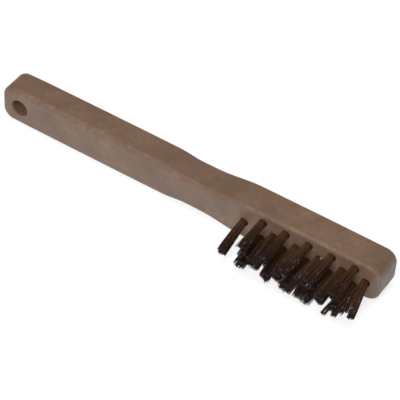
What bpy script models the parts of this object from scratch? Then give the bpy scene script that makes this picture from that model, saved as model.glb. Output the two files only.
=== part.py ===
"""A small hand wire brush: a one-piece moulded handle with a hang hole, a waisted neck and a
straight head, and sixteen wire tufts in three staggered rows, each folded over a flat wire anchor
that is driven into the bottom of its blind hole.

The brush lies on its side. +X runs along the handle to the head, -Y is the way the wires point,
+Z is up. The origin is on the surface it lies on, under the middle of its outline.
"""

import math

import bmesh
import bpy

MM = 0.001

# Handle
LENGTH = 180 * MM
HANG_END_THICKNESS = 13.2 * MM
NECK_THICKNESS = 13.8 * MM
HEAD_THICKNESS = 14.0 * MM
WIDEST = 17.5 * MM
END_WIDTH = 17.0 * MM
GRIP_END_WIDTH = 16.6 * MM  # where the grip starts to narrow into the neck
NECK_WIDTH = 14.1 * MM
CORNER_RADIUS = 5.3 * MM  # of the outline, at both ends
HANG_END_EDGE_RADIUS = 2.2 * MM
NECK_EDGE_RADIUS = 1.9 * MM
HEAD_EDGE_RADIUS = 1.3 * MM

# (distance from the hang-hole end, size), joined by a smooth curve that never overshoots
WIDTH_STATIONS = (
    (0 * MM, END_WIDTH),
    (15 * MM, WIDEST),
    (28 * MM, WIDEST),
    (80 * MM, GRIP_END_WIDTH),
    (91 * MM, NECK_WIDTH),
    (99 * MM, NECK_WIDTH),
    (118 * MM, WIDEST),
    (142 * MM, WIDEST),
    (LENGTH, END_WIDTH),
)
THICKNESS_STATIONS = (
    (0 * MM, HANG_END_THICKNESS),
    (90 * MM, NECK_THICKNESS),
    (122 * MM, HEAD_THICKNESS),
    (LENGTH, HEAD_THICKNESS),
)
EDGE_RADIUS_STATIONS = (
    (0 * MM, HANG_END_EDGE_RADIUS),
    (30 * MM, HANG_END_EDGE_RADIUS),
    (95 * MM, NECK_EDGE_RADIUS),
    (117 * MM, HEAD_EDGE_RADIUS),
    (LENGTH, HEAD_EDGE_RADIUS),
)
STRAIGHT_STEP = 10 * MM
NECK_STEP = 3 * MM
NECK_START = 78 * MM
NECK_END = 120 * MM
CORNER_STEPS = 6
EDGE_STEPS = 4

# Hang hole
HANG_HOLE_FROM_END = 8.8 * MM
HANG_HOLE_RADIUS = 3.7 * MM
HANG_HOLE_CHAMFER = 0.6 * MM
HANG_HOLE_SIDES = 32

# Tuft holes: the middle row has one more than the outer rows, which sit half a pitch away
ROW_SPACING = 4.4 * MM
PITCH = 10.4 * MM
FIRST_OUTER_HOLE = 127.2 * MM  # from the hang-hole end
OUTER_ROW_COUNT = 5
FIRST_GAP = 13.6 * MM  # the first middle hole stands a little further out than the pitch
TUFT_HOLE_RADIUS = 1.9 * MM
TUFT_HOLE_DEPTH = 9.0 * MM
DRILL_POINT = 0.8 * MM
TUFT_HOLE_SIDES = 24

# Wire tufts
TRIM = 17.5 * MM  # wire showing above the face
LOBES = 6  # the bundle's outline; its valleys stand for the air between the wires
VALLEY_SHARE = 0.62
MOUTH_RADIUS = 1.5 * MM
TIP_RADIUS = 2.2 * MM
FOLD_DEPTH = 8.7 * MM
FOLD_RADIUS = 1.0 * MM
FOLD_ROUND = 0.7 * MM
FOLD_SHOULDER = 0.85  # the share of the mouth radius that the fold reaches a third of the way up
SEAT_SHIFT = 0.2 * MM  # each bundle leans on the side of its hole towards the handle
LEAN_STEPS = 3
LEAN_POWER = 1.2

# Anchors: short lengths of flat wire, biting into both sides of the hole
ANCHOR_WIDTH = 5.2 * MM
ANCHOR_HEIGHT = 2.2 * MM
ANCHOR_THICKNESS = 0.5 * MM
ANCHOR_CENTRE_DEPTH = 6.2 * MM
ANCHOR_CORNER = 0.5 * MM
CLEARANCE = 0.3 * MM

# How far each tuft's tips have bent away from square, as (along X, along Z)
TIP_LEAN = {
    "middle_row_tuft_1": (0.5 * MM, -1.4 * MM),
    "middle_row_tuft_2": (1.7 * MM, 0.2 * MM),
    "middle_row_tuft_3": (1.3 * MM, -0.4 * MM),
    "middle_row_tuft_4": (-0.7 * MM, -3.3 * MM),
    "middle_row_tuft_5": (0.1 * MM, -1.2 * MM),
    "middle_row_tuft_6": (2.4 * MM, -0.5 * MM),
    "upper_row_tuft_1": (0.9 * MM, 1.2 * MM),
    "upper_row_tuft_2": (0.3 * MM, 0.2 * MM),
    "upper_row_tuft_3": (-0.5 * MM, 0.1 * MM),
    "upper_row_tuft_4": (-0.5 * MM, -0.2 * MM),
    "upper_row_tuft_5": (0.6 * MM, 0.1 * MM),
    "lower_row_tuft_1": (0.5 * MM, 1.3 * MM),
    "lower_row_tuft_2": (1.9 * MM, 1.1 * MM),
    "lower_row_tuft_3": (0.1 * MM, 0.9 * MM),
    "lower_row_tuft_4": (-0.5 * MM, -0.2 * MM),
    "lower_row_tuft_5": (0.2 * MM, 0.2 * MM),
}

BACK_Y = (HEAD_THICKNESS + TRIM) / 2
HEAD_FACE_Y = BACK_Y - HEAD_THICKNESS
MIDDLE_Z = WIDEST / 2
CUT_MARGIN = 2 * MM


def smooth_curve(stations, x):
    """The value at x of a monotone cubic curve through the stations."""
    xs = [s[0] for s in stations]
    ys = [s[1] for s in stations]
    rises = [(ys[i + 1] - ys[i]) / (xs[i + 1] - xs[i]) for i in range(len(xs) - 1)]
    slopes = [0.0]
    for before, after in zip(rises, rises[1:]):
        same_way = before * after > 0
        slopes.append(2 * before * after / (before + after) if same_way else 0.0)
    slopes.append(0.0)
    i = next((k for k in range(len(rises)) if x <= xs[k + 1]), len(rises) - 1)
    span = xs[i + 1] - xs[i]
    t = min(max((x - xs[i]) / span, 0.0), 1.0)
    return (
        ys[i] * (1 + 2 * t) * (1 - t) ** 2
        + slopes[i] * span * t * (1 - t) ** 2
        + ys[i + 1] * t * t * (3 - 2 * t)
        + slopes[i + 1] * span * t * t * (t - 1)
    )


def corner_inset(distance):
    """How far the outline's round corner pulls a side in, this far from an end."""
    if distance >= CORNER_RADIUS:
        return 0.0
    return CORNER_RADIUS - math.sqrt(CORNER_RADIUS**2 - (CORNER_RADIUS - distance) ** 2)


def half_width(x):
    nearest_end = min(x, LENGTH - x)
    return smooth_curve(WIDTH_STATIONS, x) / 2 - corner_inset(nearest_end)


def handle_stations():
    """Distances along the handle where its outline has points, closer together where it curves."""
    corner = [
        CORNER_RADIUS * (1 - math.cos(math.pi / 2 * k / CORNER_STEPS))
        for k in range(CORNER_STEPS + 1)
    ]
    stretches = (
        (CORNER_RADIUS, NECK_START, STRAIGHT_STEP),
        (NECK_START, NECK_END, NECK_STEP),
        (NECK_END, LENGTH - CORNER_RADIUS, STRAIGHT_STEP),
    )
    found = corner[:-1]
    for start, end, step in stretches:
        count = round((end - start) / step)
        found += [start + (end - start) * k / count for k in range(count)]
    return found + [LENGTH - c for c in reversed(corner)]


def outward_normals(outline):
    """Unit normals of a closed outline of (x, z) points that runs clockwise."""
    normals = []
    for i in range(len(outline)):
        x0, z0 = outline[i - 1]
        x1, z1 = outline[(i + 1) % len(outline)]
        length = math.hypot(x1 - x0, z1 - z0)
        normals.append((-(z1 - z0) / length, (x1 - x0) / length))
    return normals


def mesh_object(name, mesh_of, material=None):
    """A new object whose mesh is filled by mesh_of(bmesh), with its faces turned outwards."""
    shape = bmesh.new()
    mesh_of(shape)
    bmesh.ops.recalc_face_normals(shape, faces=shape.faces)
    mesh = bpy.data.meshes.new(name)
    shape.to_mesh(mesh)
    shape.free()
    if material:
        mesh.materials.append(material)
    obj = bpy.data.objects.new(name, mesh)
    bpy.context.scene.collection.objects.link(obj)
    return obj


def bridge(shape, rings):
    """Quads between each ring of vertices and the next."""
    for first, second in zip(rings, rings[1:]):
        for i in range(len(first)):
            j = (i + 1) % len(first)
            shape.faces.new((first[i], first[j], second[j], second[i]))


def fill_handle(shape):
    """The handle as rings of its outline, from the wire side to the back, with rounded edges."""
    xs = handle_stations()
    count = len(xs)
    outline = [(x, half_width(x)) for x in xs]
    outline += [(x, -half_width(x)) for x in reversed(xs)]
    normals = outward_normals(outline)
    angles = [math.pi / 2 * k / EDGE_STEPS for k in range(EDGE_STEPS + 1)]
    layers = [(angle, 1) for angle in angles] + [(angle, -1) for angle in reversed(angles)]
    rings = []
    for angle, side in layers:
        ring = []
        for (x, z), (nx, nz) in zip(outline, normals):
            radius = smooth_curve(EDGE_RADIUS_STATIONS, x)
            thickness = smooth_curve(THICKNESS_STATIONS, x)
            face_y = BACK_Y - thickness if side > 0 else BACK_Y
            inset = radius * (1 - math.sin(angle))
            y = face_y + side * radius * (1 - math.cos(angle))
            ring.append(
                shape.verts.new((x - nx * inset - LENGTH / 2, y, z - nz * inset + MIDDLE_Z))
            )
        rings.append(ring)
    bridge(shape, rings)
    for ring in (rings[0], rings[-1]):
        top, bottom = ring[:count], ring[count:][::-1]
        for i in range(count - 1):
            shape.faces.new((top[i], top[i + 1], bottom[i + 1], bottom[i]))


def fill_turned(profile, sides):
    """Fills a bmesh with a shape turned round Y, from (y, radius) points; radius 0 makes a tip."""

    def fill(shape):
        rings = []
        for y, radius in profile:
            if radius == 0:
                rings.append([shape.verts.new((0, y, 0))])
                continue
            turns = [2 * math.pi * k / sides for k in range(sides)]
            rings.append(
                [shape.verts.new((radius * math.cos(t), y, radius * math.sin(t))) for t in turns]
            )
        bridge(shape, [ring for ring in rings if len(ring) > 1])
        for end, inner in ((rings[0], rings[1]), (rings[-1], rings[-2])):
            if len(end) > 1:
                shape.faces.new(end)
                continue
            for i in range(sides):
                shape.faces.new((end[0], inner[i], inner[(i + 1) % sides]))

    return fill


def fill_box(low, high):
    """Fills a bmesh with a box between two corners."""

    def fill(shape):
        bmesh.ops.create_cube(shape, size=1)
        for vert in shape.verts:
            for axis in range(3):
                middle = (low[axis] + high[axis]) / 2
                vert.co[axis] = middle + vert.co[axis] * (high[axis] - low[axis])

    return fill


def as_cutter(obj, collection):
    """Moves a helper shape to its own collection, and keeps it out of the render."""
    bpy.context.scene.collection.objects.unlink(obj)
    collection.objects.link(obj)
    obj.hide_render = True
    obj.display_type = "WIRE"
    return obj


def cut(obj, name, cutter):
    """Cuts an object or a whole collection of objects out of obj."""
    modifier = obj.modifiers.new(name, "BOOLEAN")
    modifier.operation = "DIFFERENCE"
    modifier.solver = "EXACT"
    if isinstance(cutter, bpy.types.Collection):
        modifier.operand_type = "COLLECTION"
        modifier.collection = cutter
    else:
        modifier.object = cutter


def hang_hole_profile():
    """(y, radius) of the hang hole's cutter: a bore with a small chamfer at each face."""
    front = BACK_Y - smooth_curve(THICKNESS_STATIONS, HANG_HOLE_FROM_END)
    wide = HANG_HOLE_RADIUS + HANG_HOLE_CHAMFER
    return (
        (front - CUT_MARGIN, wide + CUT_MARGIN),
        (front + HANG_HOLE_CHAMFER, HANG_HOLE_RADIUS),
        (BACK_Y - HANG_HOLE_CHAMFER, HANG_HOLE_RADIUS),
        (BACK_Y + CUT_MARGIN, wide + CUT_MARGIN),
    )


def tuft_places():
    """(row, number, distance from the hang-hole end, height from the middle) of each tuft."""
    first_middle = FIRST_OUTER_HOLE + PITCH / 2
    places = [("middle_row", 1, first_middle - FIRST_GAP, 0.0)]
    for k in range(OUTER_ROW_COUNT):
        x = FIRST_OUTER_HOLE + k * PITCH
        places.append(("middle_row", k + 2, first_middle + k * PITCH, 0.0))
        places.append(("upper_row", k + 1, x, ROW_SPACING))
        places.append(("lower_row", k + 1, x, -ROW_SPACING))
    return places


def fill_tuft(lean):
    """Fills a bmesh with a lobed bundle from its fold to its tips; its hole's mouth is at y 0."""
    rings_at = [
        (FOLD_DEPTH, FOLD_RADIUS),
        (FOLD_DEPTH - FOLD_ROUND / 3, MOUTH_RADIUS * FOLD_SHOULDER),
        (FOLD_DEPTH - FOLD_ROUND, MOUTH_RADIUS),
    ]
    for k in range(LEAN_STEPS + 1):
        share = k / LEAN_STEPS
        rings_at.append((-TRIM * share, MOUTH_RADIUS + (TIP_RADIUS - MOUTH_RADIUS) * share**2))

    def fill(shape):
        rings = []
        for y, radius in rings_at:
            bend = (max(-y, 0.0) / TRIM) ** LEAN_POWER
            ring = []
            for k in range(2 * LOBES):
                reach = radius * (VALLEY_SHARE if k % 2 == 0 else 1)
                turn = math.pi * k / LOBES
                x = -SEAT_SHIFT + lean[0] * bend + reach * math.cos(turn)
                z = lean[1] * bend + reach * math.sin(turn)
                ring.append(shape.verts.new((x, y, z)))
            rings.append(ring)
        bridge(shape, rings)
        shape.faces.new(rings[0])
        shape.faces.new(rings[-1])

    return fill


def fill_anchor(shape):
    """Fills a bmesh with a flat strip across X, its leading corners clipped; hole's mouth at y 0."""
    half, low = ANCHOR_WIDTH / 2, ANCHOR_CENTRE_DEPTH - ANCHOR_HEIGHT / 2
    deep = ANCHOR_CENTRE_DEPTH + ANCHOR_HEIGHT / 2
    outline = (
        (-half, low),
        (half, low),
        (half, deep - ANCHOR_CORNER),
        (half - ANCHOR_CORNER, deep),
        (ANCHOR_CORNER - half, deep),
        (-half, deep - ANCHOR_CORNER),
    )
    sides = [
        [shape.verts.new((x, y, z)) for x, y in outline]
        for z in (-ANCHOR_THICKNESS / 2, ANCHOR_THICKNESS / 2)
    ]
    bridge(shape, sides)
    for side in sides:
        shape.faces.new(side)


def pocket_corners():
    """The corners of the space that an anchor and its clearance take, the hole's mouth at y 0."""
    half = (
        ANCHOR_WIDTH / 2 + CLEARANCE,
        ANCHOR_HEIGHT / 2 + CLEARANCE,
        ANCHOR_THICKNESS / 2 + CLEARANCE,
    )
    low = (-half[0], ANCHOR_CENTRE_DEPTH - half[1], -half[2])
    return low, (half[0], ANCHOR_CENTRE_DEPTH + half[1], half[2])


def plain_material(name, colour, roughness, metallic):
    material = bpy.data.materials.new(name)
    material.use_nodes = True
    shader = material.node_tree.nodes["Principled BSDF"]
    shader.inputs["Base Color"].default_value = (*colour, 1)
    shader.inputs["Roughness"].default_value = roughness
    shader.inputs["Metallic"].default_value = metallic
    return material


def shade_round(obj, sharp_degrees=35):
    obj.data.shade_smooth()
    obj.data.set_sharp_from_angle(angle=math.radians(sharp_degrees))


def clear_scene():
    for obj in list(bpy.data.objects):
        bpy.data.objects.remove(obj)


def new_collection(name):
    collection = bpy.data.collections.new(name)
    bpy.context.scene.collection.children.link(collection)
    return collection


def build_handle(plastic, hole_cutters, pocket_cutters):
    handle = mesh_object("handle", fill_handle, plastic)
    hang_hole = mesh_object("hang_hole_cutter", fill_turned(hang_hole_profile(), HANG_HOLE_SIDES))
    hang_hole.location = (HANG_HOLE_FROM_END - LENGTH / 2, 0, MIDDLE_Z)
    as_cutter(hang_hole, new_collection("hang_hole"))
    cut(handle, "hang_hole", hang_hole)
    cut(handle, "tuft_holes", hole_cutters)
    cut(handle, "anchor_pockets", pocket_cutters)
    shade_round(handle)
    return handle


def build_tufts(wire, flat_wire, hole_cutters, pocket_cutters):
    """The tufts and their anchors, and the cutters for their holes and pockets."""
    hole = (
        (-CUT_MARGIN, TUFT_HOLE_RADIUS),
        (TUFT_HOLE_DEPTH, TUFT_HOLE_RADIUS),
        (TUFT_HOLE_DEPTH + DRILL_POINT, 0),
    )
    made = []
    for row, number, x, height in tuft_places():
        mouth = (x - LENGTH / 2, HEAD_FACE_Y, MIDDLE_Z + height)
        name = f"{row}_tuft_{number}"
        tuft = mesh_object(name, fill_tuft(TIP_LEAN[name]), wire)
        anchor = mesh_object(f"{row}_anchor_{number}", fill_anchor, flat_wire)
        hole_cutter = mesh_object(f"{row}_hole_cutter_{number}", fill_turned(hole, TUFT_HOLE_SIDES))
        pocket = mesh_object(f"{row}_pocket_cutter_{number}", fill_box(*pocket_corners()))
        for obj in (tuft, anchor, hole_cutter, pocket):
            obj.location = mouth
        as_cutter(hole_cutter, hole_cutters)
        as_cutter(pocket, pocket_cutters)
        cut(tuft, "anchor_slot", pocket)
        shade_round(tuft)
        made += [tuft, anchor]
    return made


def main():
    clear_scene()
    plastic = plain_material("brown_plastic", (0.20, 0.12, 0.08), 0.5, 0.0)
    wire = plain_material("dark_steel_wire", (0.10, 0.06, 0.04), 0.4, 0.9)
    flat_wire = plain_material("flat_steel_wire", (0.45, 0.43, 0.40), 0.35, 1.0)
    hole_cutters = new_collection("tuft_holes")
    pocket_cutters = new_collection("anchor_pockets")
    pieces = build_tufts(wire, flat_wire, hole_cutters, pocket_cutters)
    pieces.append(build_handle(plastic, hole_cutters, pocket_cutters))
    brush = bpy.data.objects.new("wire_brush", None)
    bpy.context.scene.collection.objects.link(brush)
    for piece in pieces:
        piece.parent = brush


main()
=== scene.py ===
"""Looks for the small hand wire brush: a moulded plastic handle with its drilled tuft holes, and
sixteen tufts, each made of separate steel wires folded in half over the tuft's flat anchor.

Everything is in the row frame: +X runs to the head, -Y is the way the wires point, +Z is up, and
the floor is at Z 0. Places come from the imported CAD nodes; lengths below are in millimetres.
"""

import math
import random

import bmesh
import bpy
from mathutils import Matrix, Vector


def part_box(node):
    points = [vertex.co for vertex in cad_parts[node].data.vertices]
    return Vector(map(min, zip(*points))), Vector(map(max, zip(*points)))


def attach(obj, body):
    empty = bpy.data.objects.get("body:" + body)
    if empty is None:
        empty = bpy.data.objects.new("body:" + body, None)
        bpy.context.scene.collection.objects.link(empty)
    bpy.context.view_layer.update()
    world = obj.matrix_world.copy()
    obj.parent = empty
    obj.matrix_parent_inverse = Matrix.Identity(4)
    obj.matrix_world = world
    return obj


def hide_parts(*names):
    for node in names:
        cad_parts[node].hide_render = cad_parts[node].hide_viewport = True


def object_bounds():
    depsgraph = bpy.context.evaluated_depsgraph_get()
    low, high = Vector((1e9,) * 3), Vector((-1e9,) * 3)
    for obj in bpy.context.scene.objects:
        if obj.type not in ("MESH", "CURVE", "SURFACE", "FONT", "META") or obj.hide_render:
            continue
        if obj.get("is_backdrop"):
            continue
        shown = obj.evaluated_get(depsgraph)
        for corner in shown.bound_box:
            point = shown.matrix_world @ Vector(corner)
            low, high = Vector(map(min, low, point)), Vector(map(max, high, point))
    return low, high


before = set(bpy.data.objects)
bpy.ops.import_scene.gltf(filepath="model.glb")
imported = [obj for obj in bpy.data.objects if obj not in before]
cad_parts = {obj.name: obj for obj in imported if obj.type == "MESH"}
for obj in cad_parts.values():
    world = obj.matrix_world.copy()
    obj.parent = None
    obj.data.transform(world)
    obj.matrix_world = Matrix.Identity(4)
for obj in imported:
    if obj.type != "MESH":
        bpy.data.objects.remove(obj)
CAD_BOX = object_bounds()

MM = 0.001

# The handle; its length, widest width, head thickness and faces come from its CAD node
END_WIDTH = 17.0
GRIP_END_WIDTH = 16.6
NECK_WIDTH = 14.1
HANG_END_THICKNESS = 13.2
NECK_THICKNESS = 13.8
CORNER_RADIUS = 5.3
HANG_END_EDGE_RADIUS = 2.2
NECK_EDGE_RADIUS = 1.9
HEAD_EDGE_RADIUS = 1.3
STRAIGHT_STEP = 2.0  # along the outline between its corners
CORNER_STEPS = 14
EDGE_STEPS = 8
SUPPORT = 0.35  # a ring this far inside each flat face keeps its shading flat
HANDLE_SHARP_DEGREES = 38  # faces that meet at less than this are shaded as one surface

# The holes in the handle
HANG_HOLE_FROM_END = 8.8
HANG_HOLE_RADIUS = 3.7
HANG_HOLE_LIP = 0.7
HANG_HOLE_SIDES = 64
TUFT_HOLE_RADIUS = 1.88
TUFT_HOLE_DEPTH = 9.0
TUFT_HOLE_LIP = 0.14
DRILL_POINT = 0.8
TUFT_HOLE_SIDES = 40
LIP_STEPS = 5
CUT_MARGIN = 2.0
POCKET_CLEARANCE = 0.3

# The wires
WIRE_RADIUS = 0.15
WIRE_SIDES = 6
WIRE_SHARP_DEGREES = 50
FOLDED_WIRES = 46  # in each tuft; each shows two ends
BUNDLE_RADIUS = 1.47  # to the middle of the outermost wires, at the mouth of the hole
PLACE_SPARE = 0.05  # how far a wire may sit from its even place in the bundle
LEG_SPARE = 0.08  # how far a wire's second leg may sit from the mirror of its first
ANCHOR_SIDE = 0.42  # the nearest that a wire comes to the middle of its anchor
SEAT_SHIFT = -0.25  # along X, to the side of the hole towards the handle
WIRE_STEPS = 10
LEAN_POWER = 1.2  # above 1, a leaning wire bends more and more towards its tip
SHORTEST, LONGEST = -0.18, 0.12  # how far a cut end stands from the tuft's length
WAVE = 0.09  # the most that a wire waves from side to side
WAVE_TURN = 5.5  # radians of wave from the mouth to the tip
WAVE_ACROSS = 0.6  # the share of the wave that is along Z
IN_HOLE = -1.0  # marks the part of a wire that is below the face
TIP_SPREAD = 1.6  # how many times as wide as at its mouth a tuft is at its tips
TIP_SPREADS = {  # the tufts that are splayed more or less than the others
    "middle_row_tuft_1": 1.45,
    "middle_row_tuft_2": 1.95,
    "middle_row_tuft_4": 2.0,
    "middle_row_tuft_6": 1.9,
    "upper_row_tuft_1": 1.35,
    "lower_row_tuft_1": 1.85,
    "lower_row_tuft_3": 1.9,
    "lower_row_tuft_4": 1.9,
}

# The fold under the anchor
FOLD_STEPS = 6
FOLD_START = 0.4  # it starts this far above the anchor's underside
FOLD_BELOW = 0.2  # and goes this far below it, for a wire that lies against the anchor
FOLD_NEST = 0.75  # and this much deeper for each millimetre that a wire lies away from it
FOLD_SIDE = 0.4  # where a wire lies against the anchor, from the anchor's middle

# How wires bend at random
STRAY_SHARE = 0.04
STRAY_BEND = 0.6
WIRE_BEND = 0.11
CLUMPS = 5  # groups of wires in a tuft that have bent together
CLUMP_BEND = 0.24
SEED = 41

# How far each tuft's tips have bent from square, as (along X, along Z)
TIP_LEAN = {
    "middle_row_tuft_1": (0.8, -1.4),
    "middle_row_tuft_2": (1.7, 0.2),
    "middle_row_tuft_3": (1.3, -0.4),
    "middle_row_tuft_4": (-0.7, -3.3),
    "middle_row_tuft_5": (0.1, -1.2),
    "middle_row_tuft_6": (3.0, -0.4),
    "upper_row_tuft_1": (1.2, 1.0),
    "upper_row_tuft_2": (0.3, 0.2),
    "upper_row_tuft_3": (-0.5, 0.1),
    "upper_row_tuft_4": (-0.5, -0.2),
    "upper_row_tuft_5": (0.6, 0.1),
    "lower_row_tuft_1": (1.0, 1.1),
    "lower_row_tuft_2": (1.9, 1.1),
    "lower_row_tuft_3": (0.1, 0.9),
    "lower_row_tuft_4": (-0.8, -0.2),
    "lower_row_tuft_5": (1.1, 0.3),
}

# The tufts whose clump on the side of -X and -Z has been pushed away from the rest, and how far
LOOSE_CLUMPS = {
    "upper_row_tuft_1": (0.2, -3.4),
    "lower_row_tuft_5": (-2.6, -2.1),
    "middle_row_tuft_4": (-0.7, -0.6),
    "middle_row_tuft_6": (-2.2, -0.2),
}

# Wires that have broken off just above the face, as (x, z) from the middle of their hole; their
# bright colour is a painted glint
BROKEN_WIRES = {"middle_row_tuft_4": [(0.72, 1.46), (1.05, 1.24)]}
BROKEN_LENGTH = 0.8
BROKEN_DEPTH = 4.0
BROKEN_ALONG = 0.5  # as if half way up a whole wire
BROKEN_GLINT_TONE = 2.0  # marks their bright colour, a painted glint, for the wire's material

# Floor, light and camera
FLOOR_SIZE = 6.0  # metres
FLOOR_GLOW = 0.71
WORLD_GLOW = 0.2
LIGHT_TARGET = (0.0, 0.0, 0.01)
LIGHTS = (  # name, direction, then distance and size in metres, and power in watts
    ("key", (0.12, -0.93, 0.74), 1.6, 1.1, 32.0),
    ("top", (0.0, 0.10, 1.0), 1.8, 1.6, 29.0),
)
CAMERA_AZIMUTH = 30.72
CAMERA_ELEVATION = 44.93
CAMERA_ROLL = 3.56
CAMERA_LENS = 187.64
CAMERA_SENSOR = 36.0
CAMERA_NEAREST = 0.01  # metres
CAMERA_DISTANCE = 0.83306  # metres
AIM_DEPTH = 7.2  # in front of the back face, at the middle of the length
AIM_RIGHT = 3.15  # then this far to the right and down in the picture
AIM_DOWN = 7.25

# Sockets of the colour mix node
MIX_SHARE, MIX_FIRST, MIX_SECOND, MIX_RESULT = 0, 6, 7, 2


def smooth_curve(stations, x):
    """The value at x of a monotone cubic curve through the stations."""
    xs = [s[0] for s in stations]
    ys = [s[1] for s in stations]
    rises = [(ys[i + 1] - ys[i]) / (xs[i + 1] - xs[i]) for i in range(len(xs) - 1)]
    slopes = [0.0]
    for before, after in zip(rises, rises[1:]):
        same_way = before * after > 0
        slopes.append(2 * before * after / (before + after) if same_way else 0.0)
    slopes.append(0.0)
    i = next((k for k in range(len(rises)) if x <= xs[k + 1]), len(rises) - 1)
    span = xs[i + 1] - xs[i]
    t = min(max((x - xs[i]) / span, 0.0), 1.0)
    return (
        ys[i] * (1 + 2 * t) * (1 - t) ** 2
        + slopes[i] * span * t * (1 - t) ** 2
        + ys[i + 1] * t * t * (3 - 2 * t)
        + slopes[i + 1] * span * t * t * (t - 1)
    )


class Handle:
    """The handle's outline and thickness, in millimetres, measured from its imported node."""

    def __init__(self):
        low, high = (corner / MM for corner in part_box("handle"))
        self.start = low.x
        self.length = high.x - low.x
        self.back = high.y
        self.head_face = low.y
        self.middle = (low.z + high.z) / 2
        widest = high.z - low.z
        head_thickness = self.back - self.head_face
        # each as (distance from the hang-hole end, size)
        self.widths = (
            (0.0, END_WIDTH),
            (15.0, widest),
            (28.0, widest),
            (80.0, GRIP_END_WIDTH),
            (91.0, NECK_WIDTH),
            (99.0, NECK_WIDTH),
            (118.0, widest),
            (142.0, widest),
            (self.length, END_WIDTH),
        )
        self.thicknesses = (
            (0.0, HANG_END_THICKNESS),
            (90.0, NECK_THICKNESS),
            (122.0, head_thickness),
            (self.length, head_thickness),
        )
        self.edge_radii = (
            (0.0, HANG_END_EDGE_RADIUS),
            (30.0, HANG_END_EDGE_RADIUS),
            (95.0, NECK_EDGE_RADIUS),
            (117.0, HEAD_EDGE_RADIUS),
            (self.length, HEAD_EDGE_RADIUS),
        )

    def half_width(self, x):
        """Half the width at x, with the corners of the outline rounded."""
        from_end = min(x, self.length - x)
        inset = 0.0
        if from_end < CORNER_RADIUS:
            inset = CORNER_RADIUS - math.sqrt(CORNER_RADIUS**2 - (CORNER_RADIUS - from_end) ** 2)
        return smooth_curve(self.widths, x) / 2 - inset

    def stations(self):
        """The x of each ring of the outline, closer together at the corners."""
        corner = [
            CORNER_RADIUS * (1 - math.cos(math.pi / 2 * k / CORNER_STEPS))
            for k in range(CORNER_STEPS)
        ]
        straight = self.length - 2 * CORNER_RADIUS
        count = round(straight / STRAIGHT_STEP)
        between = [CORNER_RADIUS + straight * k / count for k in range(count + 1)]
        return corner + between + [self.length - c for c in reversed(corner)]


def mesh_object(name, shape, material=None):
    """A new object from a bmesh, with its faces turned outwards."""
    bmesh.ops.recalc_face_normals(shape, faces=shape.faces)
    mesh = bpy.data.meshes.new(name)
    shape.to_mesh(mesh)
    shape.free()
    if material:
        mesh.materials.append(material)
    obj = bpy.data.objects.new(name, mesh)
    bpy.context.scene.collection.objects.link(obj)
    return obj


def bridge(shape, rings):
    """Quads between each ring of vertices and the next."""
    for first, second in zip(rings, rings[1:]):
        for i in range(len(first)):
            j = (i + 1) % len(first)
            shape.faces.new((first[i], first[j], second[j], second[i]))


def edge_layers(radius):
    """(inset from the outline, depth below the face, wear and painted highlight) of the rings
    round one face's edge.
    """
    layers = [(radius + SUPPORT, 0.0, 0.0)]
    for k in range(EDGE_STEPS + 1):
        angle = math.pi / 2 * k / EDGE_STEPS
        # Paler band of edge wear and painted highlight, strongest across the middle of the
        # rounded edge.
        wear_and_highlight = math.sin(2 * angle)
        layers.append((radius * (1 - math.sin(angle)), radius * (1 - math.cos(angle)), wear_and_highlight))
    layers.append((0.0, radius + SUPPORT, 0.0))
    return layers


def handle_blank(handle):
    """The handle before its holes: rings of the outline from the wire side to the back."""
    xs = handle.stations()
    count = len(xs)
    outline = [(x, handle.half_width(x)) for x in xs]
    outline += [(x, -handle.half_width(x)) for x in reversed(xs)]
    shape = bmesh.new()
    # Where the paler band of edge wear and painted highlight lies, for the plastic's colour.
    wear_and_highlight_layer = shape.verts.layers.float.new("edge_wear_and_highlight")
    columns = []
    for i, (x, z) in enumerate(outline):
        x0, z0 = outline[i - 1]
        x1, z1 = outline[(i + 1) % len(outline)]
        span = math.hypot(x1 - x0, z1 - z0)
        nx, nz = -(z1 - z0) / span, (x1 - x0) / span
        layers = edge_layers(smooth_curve(handle.edge_radii, x))
        front = handle.back - smooth_curve(handle.thicknesses, x)
        column = []
        for face, side, rings in ((front, 1, layers), (handle.back, -1, layers[::-1])):
            for inset, depth, wear_and_highlight in rings:
                place = Vector((x - nx * inset, face + side * depth, z - nz * inset))
                place += Vector((handle.start, 0, handle.middle))
                vert = shape.verts.new(place * MM)
                vert[wear_and_highlight_layer] = wear_and_highlight
                column.append(vert)
        columns.append(column)
    rings = [list(ring) for ring in zip(*columns)]
    bridge(shape, rings)
    for ring in (rings[0], rings[-1]):
        top, bottom = ring[:count], ring[count:][::-1]
        for i in range(count - 1):
            shape.faces.new((top[i], top[i + 1], bottom[i + 1], bottom[i]))
    return mesh_object("moulded_handle", shape)


def turned(name, profile, sides, centre):
    """A closed shape turned round Y from (y, radius) points; radius 0 makes a tip."""
    shape = bmesh.new()
    rings = []
    for y, radius in profile:
        turns = [2 * math.pi * k / sides for k in range(sides if radius else 1)]
        ring = [Vector((radius * math.cos(t), y, radius * math.sin(t))) for t in turns]
        rings.append([shape.verts.new((centre + place) * MM) for place in ring])
    bridge(shape, [ring for ring in rings if len(ring) > 1])
    for end, inner in ((rings[0], rings[1]), (rings[-1], rings[-2])):
        if len(end) > 1:
            shape.faces.new(end)
            continue
        for i in range(sides):
            shape.faces.new((end[0], inner[i], inner[(i + 1) % sides]))
    return mesh_object(name, shape)


def lip(face, way, radius, size):
    """(y, radius) points of a hole's rounded mouth, from outside the face inwards."""
    points = [(face - way * CUT_MARGIN, radius + size)]
    for k in range(LIP_STEPS + 1):
        angle = math.pi / 2 * k / LIP_STEPS
        points.append(
            (face + way * size * (1 - math.cos(angle)), radius + size * (1 - math.sin(angle)))
        )
    return points


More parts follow.
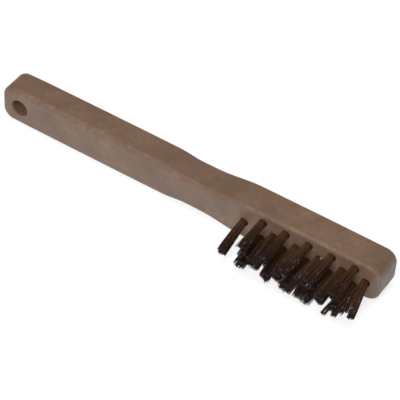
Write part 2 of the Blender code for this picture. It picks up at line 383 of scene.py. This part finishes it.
def hang_hole_cutter(handle):
    front = handle.back - smooth_curve(handle.thicknesses, HANG_HOLE_FROM_END)
    profile = lip(front, 1, HANG_HOLE_RADIUS, HANG_HOLE_LIP)
    profile += reversed(lip(handle.back, -1, HANG_HOLE_RADIUS, HANG_HOLE_LIP))
    centre = Vector((handle.start + HANG_HOLE_FROM_END, 0, handle.middle))
    return turned("hang_hole_cutter", profile, HANG_HOLE_SIDES, centre)


def tuft_hole_cutter(handle, centre):
    profile = lip(handle.head_face, 1, TUFT_HOLE_RADIUS, TUFT_HOLE_LIP)
    bottom = handle.head_face + TUFT_HOLE_DEPTH
    profile += [(bottom, TUFT_HOLE_RADIUS), (bottom + DRILL_POINT, 0)]
    return turned("tuft_hole_cutter", profile, TUFT_HOLE_SIDES, Vector((centre.x, 0, centre.z)))


def pocket_cutter(low, high):
    """The space that an anchor is driven into."""
    shape = bmesh.new()
    bmesh.ops.create_cube(shape, size=1)
    spare = Vector((POCKET_CLEARANCE,) * 3)
    low, high = low - spare, high + spare
    for vert in shape.verts:
        share = vert.co + Vector((0.5, 0.5, 0.5))
        vert.co = Vector(a + (b - a) * s for a, b, s in zip(low, high, share)) * MM
    return mesh_object("pocket_cutter", shape)


def cut_all(obj, cutters):
    """Cuts the cutters out of obj for good, and removes them."""
    group = bpy.data.collections.new("cutters")
    bpy.context.scene.collection.children.link(group)
    for cutter in cutters:
        group.objects.link(cutter)
    modifier = obj.modifiers.new("holes", "BOOLEAN")
    modifier.operation = "DIFFERENCE"
    modifier.solver = "EXACT"
    modifier.operand_type = "COLLECTION"
    modifier.collection = group
    graph = bpy.context.evaluated_depsgraph_get()
    cut_mesh = bpy.data.meshes.new_from_object(obj.evaluated_get(graph))
    obj.modifiers.clear()
    obj.data = cut_mesh
    for cutter in cutters:
        bpy.data.objects.remove(cutter)
    bpy.data.collections.remove(group)


def shade_round(obj, sharp_degrees):
    obj.data.shade_smooth()
    obj.data.set_sharp_from_angle(angle=math.radians(sharp_degrees))


def anchor_of(tuft_node):
    """The lowest and highest corner of a tuft's anchor, in millimetres."""
    low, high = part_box(tuft_node.replace("tuft", "anchor"))
    return low / MM, high / MM


def build_handle(handle, tuft_nodes, material):
    obj = handle_blank(handle)
    cut_all(obj, [hang_hole_cutter(handle)])
    anchors = [anchor_of(node) for node in tuft_nodes]
    cut_all(obj, [tuft_hole_cutter(handle, (low + high) / 2) for low, high in anchors])
    cut_all(obj, [pocket_cutter(low, high) for low, high in anchors])
    obj.data.materials.clear()
    obj.data.materials.append(material)
    shade_round(obj, HANDLE_SHARP_DEGREES)
    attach(obj, "root")
    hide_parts("handle")


# Wire tufts


def bundle_places(chance):
    """(x, z) of the folded wires at the mouth, on the upper side of the anchor, well spread."""
    places = []
    turn = math.pi * (3 - math.sqrt(5))  # the golden angle spreads the places evenly
    k = 0
    while len(places) < FOLDED_WIRES:
        radius = BUNDLE_RADIUS * math.sqrt((k + 0.5) / (2 * FOLDED_WIRES))
        x, z = radius * math.cos(k * turn), radius * math.sin(k * turn)
        if z > 0:
            x += chance.uniform(-PLACE_SPARE, PLACE_SPARE)
            z += chance.uniform(-PLACE_SPARE, PLACE_SPARE)
            places.append((x, max(z, ANCHOR_SIDE)))
        k += 1
    return places


def leg_points(mouth, bend, length, tip_spread, wave, phase):
    """Points of one leg above the face, from its tip back to the mouth.

    Each is (along, x, depth, z), where along is 1 at the tip and 0 at the mouth.
    """
    points = []
    for k in range(WIRE_STEPS):
        along = 1 - k / WIRE_STEPS
        spread = 1 + (tip_spread - 1) * (1 - (1 - along) ** 2)
        lean = along**LEAN_POWER
        ripple = wave * math.sin(phase + WAVE_TURN * along) * along
        x = mouth[0] * spread + bend[0] * lean + ripple
        z = mouth[1] * spread + bend[1] * lean + ripple * WAVE_ACROSS
        points.append((along, x, -length * along, z))
    return points


def fold_points(first, second, anchor_depth, floor_depth):
    """Points down the hole, round under the anchor and up again."""
    (x0, z0), (x1, z1) = first, second
    start = anchor_depth - FOLD_START
    bottom = anchor_depth + FOLD_BELOW + FOLD_NEST * (abs(z0) - FOLD_SIDE)
    bottom = min(bottom, floor_depth)
    points = [(0.0, x0, 0.0, z0), (IN_HOLE, x0, start / 2, z0), (IN_HOLE, x0, start, z0)]
    for k in range(1, FOLD_STEPS):
        share = k / FOLD_STEPS
        angle = math.pi * k / FOLD_STEPS
        reach = math.cos(angle)
        z = z0 * reach if reach > 0 else z1 * -reach
        depth = start + (bottom - start) * math.sin(angle)
        points.append((IN_HOLE, x0 + (x1 - x0) * share, depth, z))
    points += [(IN_HOLE, x1, start, z1), (IN_HOLE, x1, start / 2, z1), (0.0, x1, 0.0, z1)]
    return points


def sweep(shape, layers, path, tone):
    """A round wire along a path of (along, x, depth, z), with flat cut ends."""
    along_layer, tone_layer = layers
    places = [Vector(point[1:]) for point in path]
    rings = []
    side = Vector((1, 0, 0))
    for i, place in enumerate(places):
        before = places[max(i - 1, 0)]
        after = places[min(i + 1, len(places) - 1)]
        forward = (after - before).normalized()
        side = (side - forward * side.dot(forward)).normalized()
        other = forward.cross(side)
        ring = []
        for k in range(WIRE_SIDES):
            turn = 2 * math.pi * k / WIRE_SIDES
            offset = (side * math.cos(turn) + other * math.sin(turn)) * WIRE_RADIUS
            vert = shape.verts.new((place + offset) * MM)
            vert[along_layer] = path[i][0]
            vert[tone_layer] = tone
            ring.append(vert)
        rings.append(ring)
    bridge(shape, rings)
    for ring in (rings[0], rings[-1]):
        shape.faces.new(ring).material_index = 1


def bundle_legs(chance, node, length):
    """For each folded wire, (mouth, points above the face) of its two legs, and its tone."""
    lean = TIP_LEAN[node]
    clumps = [(chance.gauss(0, CLUMP_BEND), chance.gauss(0, CLUMP_BEND)) for _ in range(CLUMPS)]
    clumps[0] = LOOSE_CLUMPS.get(node, clumps[0])
    tip_spread = TIP_SPREADS.get(node, TIP_SPREAD)
    for x, z in bundle_places(chance):
        second_x = x + chance.uniform(-LEG_SPARE, LEG_SPARE)
        second_z = -max(z + chance.uniform(-LEG_SPARE, LEG_SPARE), ANCHOR_SIDE)
        legs = []
        for mouth in ((x, z), (second_x, second_z)):
            loose = STRAY_BEND if chance.random() < STRAY_SHARE else WIRE_BEND
            turn = math.atan2(mouth[1], mouth[0]) / (2 * math.pi) + 0.5
            clump = clumps[min(int(turn * CLUMPS), CLUMPS - 1)]
            bend = tuple(lean[i] + clump[i] + chance.gauss(0, loose) for i in (0, 1))
            reach = length + chance.uniform(SHORTEST, LONGEST)
            wave = chance.uniform(-WAVE, WAVE)
            phase = chance.uniform(0, 2 * math.pi)
            legs.append((mouth, leg_points(mouth, bend, reach, tip_spread, wave, phase)))
        yield legs, chance.random()


def build_tuft(node, handle, wire, cut_end):
    """One tuft of folded wires in place of its CAD bundle."""
    chance = random.Random(f"{SEED} {node}")
    anchor_low, anchor_high = anchor_of(node)
    hole = (anchor_low + anchor_high) / 2
    anchor_depth = anchor_high.y - handle.head_face
    length = handle.head_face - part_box(node)[0].y / MM
    shape = bmesh.new()
    layers = [shape.verts.layers.float.new(n) for n in ("wire_along", "wire_tone")]
    for (first, second), tone in bundle_legs(chance, node, length):
        fold = fold_points(first[0], second[0], anchor_depth, TUFT_HOLE_DEPTH - WIRE_RADIUS)
        path = first[1] + fold + second[1][::-1]
        moved = [
            (along, x + hole.x + SEAT_SHIFT, handle.head_face + depth, z + hole.z)
            for along, x, depth, z in path
        ]
        sweep(shape, layers, moved, tone)
    for x, z in BROKEN_WIRES.get(node, ()):
        ends = ((BROKEN_ALONG, -BROKEN_LENGTH), (0.0, 0.0), (IN_HOLE, BROKEN_DEPTH))
        stub = [
            (along, hole.x + x, handle.head_face + depth, hole.z + z) for along, depth in ends
        ]
        sweep(shape, layers, stub, BROKEN_GLINT_TONE)
    obj = mesh_object(node + "_wires", shape)
    obj.data.materials.append(wire)
    obj.data.materials.append(cut_end)
    shade_round(obj, WIRE_SHARP_DEGREES)
    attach(obj, "root")
    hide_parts(node)


# Materials


class Nodes:
    """A short way to write one material's nodes."""

    def __init__(self, name):
        self.material = bpy.data.materials.new(name)
        self.material.use_nodes = True
        self.tree = self.material.node_tree
        self.shader = self.tree.nodes["Principled BSDF"]

    def add(self, kind, settings=None, **inputs):
        node = self.tree.nodes.new(kind)
        for key, value in (settings or {}).items():
            setattr(node, key, value)
        for key, value in inputs.items():
            self.put(node, key.replace("_", " "), value)
        return node

    def put(self, node, key, value):
        socket = node.inputs[key]
        if isinstance(value, bpy.types.NodeSocket):
            self.tree.links.new(value, socket)
        else:
            socket.default_value = value

    def noise(self, vector, scale, detail=3.0, roughness=0.55):
        node = self.add(
            "ShaderNodeTexNoise", Vector=vector, Scale=scale, Detail=detail, Roughness=roughness
        )
        return node.outputs["Fac"]

    def stretched(self, vector, scale):
        node = self.add("ShaderNodeMapping", Vector=vector, Scale=scale)
        return node.outputs["Vector"]

    def ranged(self, value, low, high, to_low=0.0, to_high=1.0):
        """The value moved from low..high to to_low..to_high, and held between them."""
        node = self.add("ShaderNodeMapRange")
        for key, number in zip(
            ("Value", "From Min", "From Max", "To Min", "To Max"),
            (value, low, high, to_low, to_high),
        ):
            self.put(node, key, number)
        return node.outputs["Result"]

    def mix(self, share, first, second):
        """A colour between two, each a socket or (red, green, blue)."""
        node = self.add("ShaderNodeMix", {"data_type": "RGBA"})
        self.put(node, MIX_SHARE, share)
        for index, value in ((MIX_FIRST, first), (MIX_SECOND, second)):
            if not isinstance(value, bpy.types.NodeSocket):
                value = (*value, 1.0)
            self.put(node, index, value)
        return node.outputs[MIX_RESULT]

    def math(self, operation, first, second):
        node = self.add("ShaderNodeMath", {"operation": operation})
        self.put(node, 0, first)
        self.put(node, 1, second)
        return node.outputs[0]

    def attribute(self, name):
        return self.add("ShaderNodeAttribute", {"attribute_name": name}).outputs["Fac"]

    def bump(self, height, distance, strength, normal=None):
        node = self.add("ShaderNodeBump", Height=height, Distance=distance, Strength=strength)
        if normal:
            self.put(node, "Normal", normal)
        return node.outputs["Normal"]


def moulded_plastic():
    """Brown moulded plastic.

    It is clouded, mottled and faintly streaked along the handle, matt and finely pitted. It is
    paler in places across the middle of its edges, partly rubbed wear and partly a painted
    highlight.
    """
    n = Nodes("brown_moulded_plastic")
    place = n.add("ShaderNodeTexCoord").outputs["Object"]
    clouds = n.ranged(n.noise(place, 70.0, 4.0, 0.6), 0.35, 0.65)
    colour = n.mix(clouds, (0.095, 0.054, 0.034), (0.146, 0.092, 0.061))
    streaks = n.noise(n.stretched(place, (0.12, 1.0, 1.0)), 420.0, 3.0)
    colour = n.mix(n.ranged(streaks, 0.45, 0.75, 0.0, 0.4), colour, (0.140, 0.085, 0.060))
    warm = n.noise(n.stretched(place, (0.4, 1.0, 1.0)), 330.0, 4.0)
    colour = n.mix(n.ranged(warm, 0.44, 0.62, 0.0, 0.55), colour, (0.120, 0.067, 0.037))
    mottle = n.noise(place, 650.0, 3.0)
    colour = n.mix(n.ranged(mottle, 0.35, 0.65, 0.0, 0.6), colour, (0.090, 0.056, 0.040))
    specks = n.noise(place, 850.0, 2.0)
    colour = n.mix(n.ranged(specks, 0.55, 0.8, 0.0, 0.35), colour, (0.070, 0.038, 0.025))
    # Edge wear and painted highlight: pale chips along the middle of the edges.
    rubs_and_glints = n.ranged(n.noise(place, 420.0, 3.0), 0.50, 0.66, 0.0, 0.75)
    worn_and_highlit = n.math("MULTIPLY", n.attribute("edge_wear_and_highlight"), rubs_and_glints)
    colour = n.mix(worn_and_highlit, colour, (0.146, 0.095, 0.069))
    n.put(n.shader, "Base Color", colour)
    n.put(n.shader, "Roughness", n.ranged(n.noise(place, 240.0), 0.3, 0.7, 0.40, 0.54))
    n.shader.inputs["IOR"].default_value = 1.55
    pits = n.bump(n.noise(place, 2600.0, 2.0), 0.00004, 0.35)
    n.put(n.shader, "Normal", n.bump(n.noise(place, 160.0, 2.0), 0.0003, 0.25, pits))
    return n.material


def steel_wire():
    """Dark tempered wire, each with its own tone.

    It is lighter brown near its root, a painted light, and near black towards its tip, a painted
    shade, with short painted glints towards the tip. A broken-off wire is painted bright as a
    glint.
    """
    n = Nodes("dark_steel_wire")
    place = n.add("ShaderNodeTexCoord").outputs["Object"]
    tone = n.attribute("wire_tone")
    along = n.attribute("wire_along")
    colour = n.mix(n.ranged(tone, 0.0, 1.0), (0.026, 0.012, 0.007), (0.125, 0.064, 0.032))
    stains = n.noise(n.stretched(place, (1.0, 0.25, 1.0)), 900.0)
    colour = n.mix(n.ranged(stains, 0.45, 0.7, 0.0, 0.6), colour, (0.075, 0.035, 0.016))
    # Painted light: lighter brown near the root, where the light falls on the tuft.
    root = n.ranged(along, 0.05, 0.45, 0.6, 0.0)
    colour = n.mix(root, colour, (0.150, 0.076, 0.038))
    # Painted shade: darker towards the tip, in the shaded mass of the tuft.
    tip = n.ranged(along, 0.6, 1.0, 0.0, 0.75)
    colour = n.mix(tip, colour, (0.026, 0.015, 0.018))
    # Painted glints: short bright specks on the wires towards the tip.
    rubs_and_glints = n.ranged(n.noise(n.stretched(place, (1.0, 0.3, 1.0)), 1500.0, 2.0), 0.65, 0.70)
    rubs_and_glints = n.math("MULTIPLY", rubs_and_glints, n.ranged(along, 0.3, 0.5))
    colour = n.mix(rubs_and_glints, colour, (0.42, 0.38, 0.40))
    # Painted glint: the broken-off wires are painted bright golden metal.
    snapped_glint = n.ranged(tone, BROKEN_GLINT_TONE - 0.6, BROKEN_GLINT_TONE - 0.4)
    colour = n.mix(snapped_glint, colour, (0.80, 0.68, 0.50))
    n.put(n.shader, "Base Color", colour)
    n.shader.inputs["Metallic"].default_value = 0.6
    n.shader.inputs["Specular Tint"].default_value = (0.50, 0.34, 0.25, 1.0)
    n.put(n.shader, "Roughness", n.ranged(stains, 0.3, 0.7, 0.30, 0.52))
    drawn = n.noise(n.stretched(place, (1.0, 0.05, 1.0)), 9000.0, 2.0)
    n.put(n.shader, "Normal", n.bump(drawn, 0.00001, 0.4))
    return n.material


def cut_steel():
    """The dark sheared ends of the wires, with fine marks."""
    n = Nodes("cut_wire_end")
    place = n.add("ShaderNodeTexCoord").outputs["Object"]
    marks = n.noise(n.stretched(place, (1.0, 1.0, 0.2)), 7000.0)
    colour = n.mix(n.ranged(marks, 0.35, 0.65), (0.018, 0.012, 0.012), (0.070, 0.054, 0.052))
    n.put(n.shader, "Base Color", colour)
    n.shader.inputs["Metallic"].default_value = 0.9
    n.put(n.shader, "Roughness", n.ranged(marks, 0.3, 0.7, 0.3, 0.5))
    n.put(n.shader, "Normal", n.bump(marks, 0.00001, 0.5))
    return n.material


def anchor_steel():
    """Plain drawn flat wire with fine lines along it."""
    n = Nodes("flat_anchor_steel")
    place = n.add("ShaderNodeTexCoord").outputs["Object"]
    lines = n.noise(n.stretched(place, (0.05, 1.0, 1.0)), 6000.0)
    colour = n.mix(n.ranged(lines, 0.35, 0.65), (0.36, 0.34, 0.31), (0.52, 0.50, 0.46))
    n.put(n.shader, "Base Color", colour)
    n.shader.inputs["Metallic"].default_value = 1.0
    n.put(n.shader, "Roughness", n.ranged(lines, 0.3, 0.7, 0.28, 0.42))
    n.put(n.shader, "Normal", n.bump(lines, 0.00001, 0.4))
    return n.material


def pale_floor():
    """A plain floor that glows a little, so that the brush casts only a faint shadow."""
    n = Nodes("pale_floor")
    place = n.add("ShaderNodeTexCoord").outputs["Object"]
    colour = n.mix(n.noise(place, 4.0), (0.25, 0.25, 0.25), (0.27, 0.27, 0.27))
    n.put(n.shader, "Base Color", colour)
    n.shader.inputs["Roughness"].default_value = 0.8
    n.shader.inputs["Emission Color"].default_value = (1.0, 1.0, 1.0, 1.0)
    n.shader.inputs["Emission Strength"].default_value = FLOOR_GLOW
    return n.material


# Floor, light and camera


def build_floor():
    shape = bmesh.new()
    bmesh.ops.create_grid(shape, x_segments=1, y_segments=1, size=FLOOR_SIZE / 2)
    floor = mesh_object("floor", shape, pale_floor())
    floor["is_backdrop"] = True


def area_light(name, direction, distance, size, power):
    data = bpy.data.lights.new(name, "AREA")
    data.shape = "DISK"
    data.size = size
    data.energy = power
    light = bpy.data.objects.new(name, data)
    bpy.context.scene.collection.objects.link(light)
    way = Vector(direction).normalized()
    light.location = Vector(LIGHT_TARGET) + way * distance
    light.rotation_mode = "QUATERNION"
    light.rotation_quaternion = way.to_track_quat("Z", "Y")
    light.visible_glossy = False


def build_lights():
    """Two soft lights and a white world."""
    for name, direction, distance, size, power in LIGHTS:
        area_light(name, direction, distance, size, power)
    world = bpy.data.worlds.new("studio")
    world.use_nodes = True
    background = world.node_tree.nodes["Background"]
    background.inputs["Color"].default_value = (1.0, 1.0, 1.0, 1.0)
    background.inputs["Strength"].default_value = WORLD_GLOW
    bpy.context.scene.world = world


def build_camera(handle):
    """The photograph's view: from in front of the wires, to the right and above."""
    azimuth, elevation, roll = (
        math.radians(a) for a in (CAMERA_AZIMUTH, CAMERA_ELEVATION, CAMERA_ROLL)
    )
    back = Vector(
        (
            math.sin(azimuth) * math.cos(elevation),
            -math.cos(azimuth) * math.cos(elevation),
            math.sin(elevation),
        )
    )
    level_right = Vector((math.cos(azimuth), math.sin(azimuth), 0))
    level_up = back.cross(level_right)
    right = level_right * math.cos(roll) + level_up * math.sin(roll)
    up = level_up * math.cos(roll) - level_right * math.sin(roll)
    middle = Vector((handle.start + handle.length / 2, handle.back - AIM_DEPTH, handle.middle))
    camera = bpy.data.objects.new("camera", bpy.data.cameras.new("camera"))
    bpy.context.scene.collection.objects.link(camera)
    camera.data.lens = CAMERA_LENS
    camera.data.sensor_width = CAMERA_SENSOR
    camera.data.clip_start = CAMERA_NEAREST
    camera.location = middle * MM + back * CAMERA_DISTANCE
    aim = (middle + right * AIM_RIGHT - up * AIM_DOWN) * MM
    toward = (camera.location - aim).normalized()
    side = up.cross(toward).normalized()
    upward = toward.cross(side)
    camera.rotation_mode = "QUATERNION"
    turn = Matrix((side, upward, toward)).transposed()
    camera.rotation_quaternion = turn.to_quaternion()
    bpy.context.scene.camera = camera


def main():
    handle = Handle()
    tuft_nodes = sorted(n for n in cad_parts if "tuft" in n)
    build_camera(handle)
    build_lights()
    build_floor()
    build_handle(handle, tuft_nodes, moulded_plastic())
    wire, cut_end = steel_wire(), cut_steel()
    for node in tuft_nodes:
        build_tuft(node, handle, wire, cut_end)
    anchor = anchor_steel()
    for name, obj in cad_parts.items():
        if "anchor" in name:
            obj.data.materials.clear()
            obj.data.materials.append(anchor)
    bpy.context.scene.view_settings.view_transform = "Standard"


main()
[[list(corner) for corner in box] for box in (CAD_BOX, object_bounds())]
